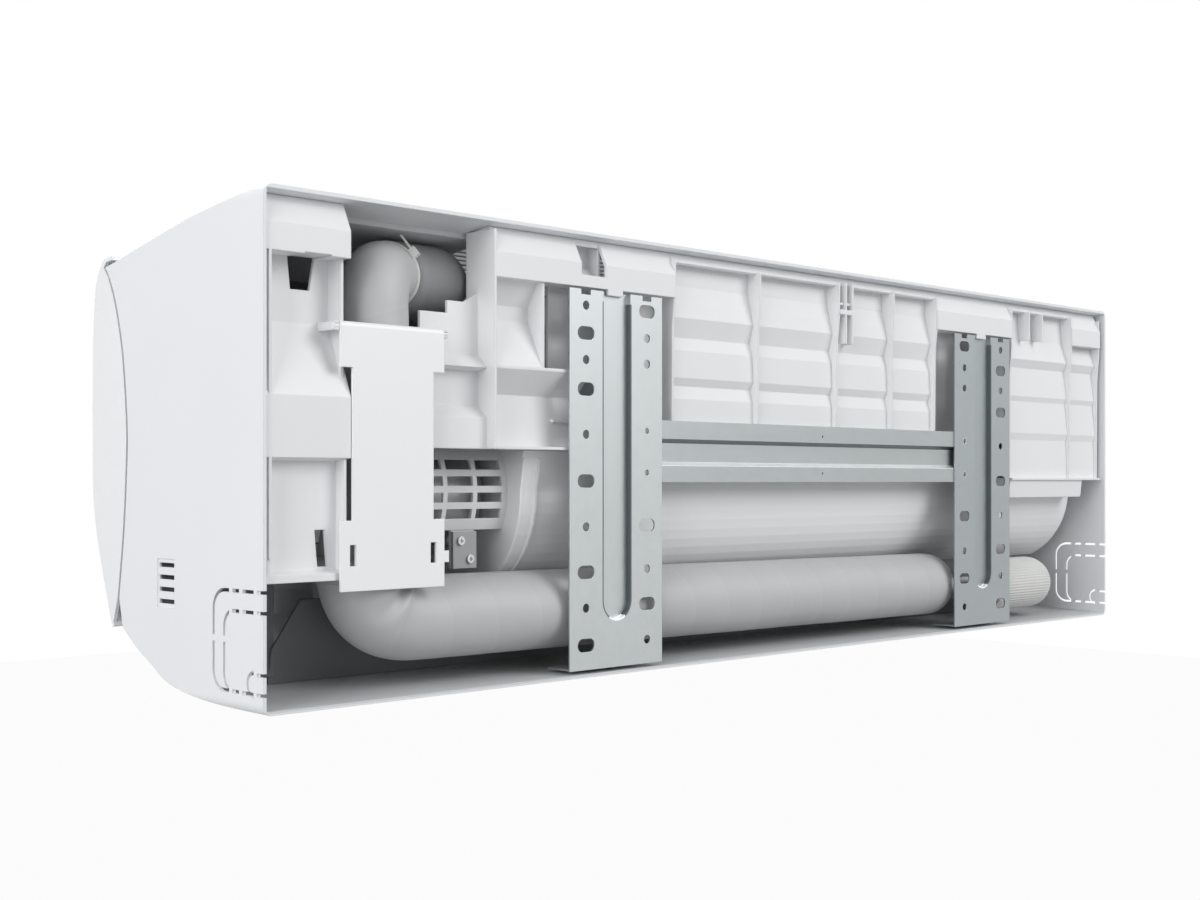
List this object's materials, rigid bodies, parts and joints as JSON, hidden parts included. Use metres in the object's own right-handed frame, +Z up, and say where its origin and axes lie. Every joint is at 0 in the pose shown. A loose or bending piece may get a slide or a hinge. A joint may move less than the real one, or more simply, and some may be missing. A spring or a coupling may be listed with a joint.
{
  "type": "split air conditioner indoor unit",
  "caption": "Wall-hung indoor unit of a split air conditioner on its steel wall plate, with swinging front, louvre, cross-flow fan, vanes, filters and wrapped pipes.",
  "frame": {"origin": "centre of the four outer wall screws of the wall plate, on the wall plane", "axes": "+X along the unit to the right as seen from the room, +Y into the wall, +Z up"},
  "size_m": [1.08, 0.226, 0.3347],
  "materials": {
    "casing_plastic": "fine grained moulded shell",
    "panel_plastic": "smooth satin front",
    "grille_plastic": "moulded bars",
    "chassis_plastic": "unpainted moulding",
    "duct_plastic": "dark moulding",
    "pan_plastic": "foam backed moulding",
    "hose_plastic": "soft hose",
    "inner_plastic": "unpainted moulding",
    "galvanised": "galvanised sheet",
    "rivet_steel": "plated",
    "retainer_plastic": "smooth moulding",
    "wrap_tape": "grey wrapping tape",
    "foam_grey": "closed cell foam",
    "nylon": "natural nylon",
    "copper": "drawn copper",
    "brass": "turned",
    "sleeve_foam": "off-white foam",
    "fins": "pressed fins",
    "sheet_steel": "galvanised",
    "filter_net": "fine net in a frame",
    "fan_plastic": "glass filled moulding",
    "rubber_black": "moulded rubber",
    "shaft_steel": "ground",
    "bronze": "sintered",
    "motor_can": "plated can",
    "louvre_plastic": "smooth moulding",
    "stepper_steel": "plated can",
    "vane_plastic": "thin moulding",
    "box_plastic": "flame retardant moulding",
    "board_green": "lacquered board",
    "terminal_plastic": "moulding",
    "button_plastic": "smooth",
    "switch_black": "moulding",
    "screw_steel": "zinc plated"
  },
  "bodies": {
    "unit": {"front_casing": "casing_plastic", "intake_grille": "grille_plastic", "rear_chassis": "chassis_plastic", "fan_scroll": "chassis_plastic", "end_column": "chassis_plastic", "outlet_duct": "duct_plastic", "drain_pan": "pan_plastic", "drain_plug": "rubber_black", "drain_hose": "hose_plastic", "motor_cover": "inner_plastic", "motor_clip": "inner_plastic", "left_bracket": "galvanised", "right_bracket": "galvanised", "cross_bar": "galvanised", "plate_rivets": "rivet_steel", "line_set_wrap": "wrap_tape", "inner_bundle": "foam_grey", "cable_tie": "nylon", "coil_pipes": "copper", "joint_pipes": "copper", "flare_nuts": "brass", "joint_sleeve": "sleeve_foam", "front_coil": "fins", "upper_coil": "fins", "rear_coil": "fins", "tube_sheets": "sheet_steel", "return_bends": "copper", "fan_bearing": "bronze", "bearing_holder": "rubber_black", "fan_motor": "motor_can", "louvre_motor": "stepper_steel", "control_box": "box_plastic", "control_lid": "box_plastic", "control_board": "board_green", "terminal_block": "terminal_plastic", "display_board": "board_green", "button_switch": "switch_black", "room_sensor": "copper", "screws": "screw_steel"},
    "panel": {"front_panel": "panel_plastic"},
    "retainer": {"pipe_retainer": "retainer_plastic"},
    "filter_left": {"filter_left": "filter_net"},
    "filter_right": {"filter_right": "filter_net"},
    "fan": {"fan_wheel": "fan_plastic", "fan_hub": "rubber_black", "fan_shaft": "shaft_steel"},
    "louvre": {"louvre": "louvre_plastic"},
    "vane_l1": {"vane_l1": "vane_plastic"},
    "vane_l2": {"vane_l2": "vane_plastic"},
    "vane_l3": {"vane_l3": "vane_plastic"},
    "vane_l4": {"vane_l4": "vane_plastic"},
    "vane_l5": {"vane_l5": "vane_plastic"},
    "link_left": {"link_left": "vane_plastic"},
    "vane_r1": {"vane_r1": "vane_plastic"},
    "vane_r2": {"vane_r2": "vane_plastic"},
    "vane_r3": {"vane_r3": "vane_plastic"},
    "vane_r4": {"vane_r4": "vane_plastic"},
    "vane_r5": {"vane_r5": "vane_plastic"},
    "link_right": {"link_right": "vane_plastic"},
    "button": {"button": "button_plastic"}
  },
  "joints": [
    {"name": "front_panel_swing", "type": "hinge", "parent": "unit", "child": "panel", "pos_m": [0, -0.1975, 0.1394], "axis": [-1, 0, 0], "range_deg": [0, 60]},
    {"name": "louvre_swing", "type": "hinge", "parent": "unit", "child": "louvre", "pos_m": [0, -0.122, -0.14025], "axis": [1, 0, 0], "range_deg": [0, 75]},
    {"name": "fan_spin", "type": "hinge", "parent": "unit", "child": "fan", "pos_m": [0, -0.105, -0.02625], "axis": [1, 0, 0], "continuous": true},
    {"name": "vane_l1_swing", "type": "hinge", "parent": "unit", "child": "vane_l1", "pos_m": [-0.428, -0.0807, -0.11306], "axis": [0, -0.9014, 0.433], "range_deg": [-35, 35]},
    {"name": "vane_l2_swing", "type": "hinge", "parent": "unit", "child": "vane_l2", "pos_m": [-0.352, -0.0807, -0.11306], "axis": [0, -0.9014, 0.433], "range_deg": [-35, 35]},
    {"name": "vane_l3_swing", "type": "hinge", "parent": "unit", "child": "vane_l3", "pos_m": [-0.276, -0.0807, -0.11306], "axis": [0, -0.9014, 0.433], "range_deg": [-35, 35]},
    {"name": "vane_l4_swing", "type": "hinge", "parent": "unit", "child": "vane_l4", "pos_m": [-0.2, -0.0807, -0.11306], "axis": [0, -0.9014, 0.433], "range_deg": [-35, 35]},
    {"name": "vane_l5_swing", "type": "hinge", "parent": "unit", "child": "vane_l5", "pos_m": [-0.124, -0.0807, -0.11306], "axis": [0, -0.9014, 0.433], "range_deg": [-35, 35]},
    {"name": "link_left_turn", "type": "hinge", "parent": "vane_l1", "child": "link_left", "pos_m": [-0.428, -0.13157, -0.10304], "axis": [0, -0.9014, 0.433], "range_deg": [-35, 35]},
    {"name": "vane_r1_swing", "type": "hinge", "parent": "unit", "child": "vane_r1", "pos_m": [-0.024, -0.0807, -0.11306], "axis": [0, -0.9014, 0.433], "range_deg": [-35, 35]},
    {"name": "vane_r2_swing", "type": "hinge", "parent": "unit", "child": "vane_r2", "pos_m": [0.052, -0.0807, -0.11306], "axis": [0, -0.9014, 0.433], "range_deg": [-35, 35]},
    {"name": "vane_r3_swing", "type": "hinge", "parent": "unit", "child": "vane_r3", "pos_m": [0.128, -0.0807, -0.11306], "axis": [0, -0.9014, 0.433], "range_deg": [-35, 35]},
    {"name": "vane_r4_swing", "type": "hinge", "parent": "unit", "child": "vane_r4", "pos_m": [0.204, -0.0807, -0.11306], "axis": [0, -0.9014, 0.433], "range_deg": [-35, 35]},
    {"name": "vane_r5_swing", "type": "hinge", "parent": "unit", "child": "vane_r5", "pos_m": [0.28, -0.0807, -0.11306], "axis": [0, -0.9014, 0.433], "range_deg": [-35, 35]},
    {"name": "link_right_turn", "type": "hinge", "parent": "vane_r1", "child": "link_right", "pos_m": [-0.024, -0.13157, -0.10304], "axis": [0, -0.9014, 0.433], "range_deg": [-35, 35]},
    {"name": "filter_left_slide", "type": "slide", "parent": "unit", "child": "filter_left", "axis": [0, 0, 1], "range_m": [0, 0.2]},
    {"name": "filter_right_slide", "type": "slide", "parent": "unit", "child": "filter_right", "axis": [0, 0, 1], "range_m": [0, 0.2]},
    {"name": "pipe_retainer_swing", "type": "hinge", "parent": "unit", "child": "retainer", "pos_m": [0.47, -0.0034, 0.08335], "axis": [1, 0, 0], "range_deg": [0, 90]},
    {"name": "button_press", "type": "slide", "parent": "unit", "child": "button", "axis": [0, 1, 0], "range_m": [0, 0.0015], "stiffness_N_per_m": 200, "springref_m": -0.002}
  ],
  "couplings": [
    {"joint": "vane_l2_swing", "follows": "vane_l1_swing", "ratio": 1},
    {"joint": "vane_l3_swing", "follows": "vane_l1_swing", "ratio": 1},
    {"joint": "vane_l4_swing", "follows": "vane_l1_swing", "ratio": 1},
    {"joint": "vane_l5_swing", "follows": "vane_l1_swing", "ratio": 1},
    {"joint": "link_left_turn", "follows": "vane_l1_swing", "ratio": -1},
    {"joint": "vane_r2_swing", "follows": "vane_r1_swing", "ratio": 1},
    {"joint": "vane_r3_swing", "follows": "vane_r1_swing", "ratio": 1},
    {"joint": "vane_r4_swing", "follows": "vane_r1_swing", "ratio": 1},
    {"joint": "vane_r5_swing", "follows": "vane_r1_swing", "ratio": 1},
    {"joint": "link_right_turn", "follows": "vane_r1_swing", "ratio": -1}
  ]
}
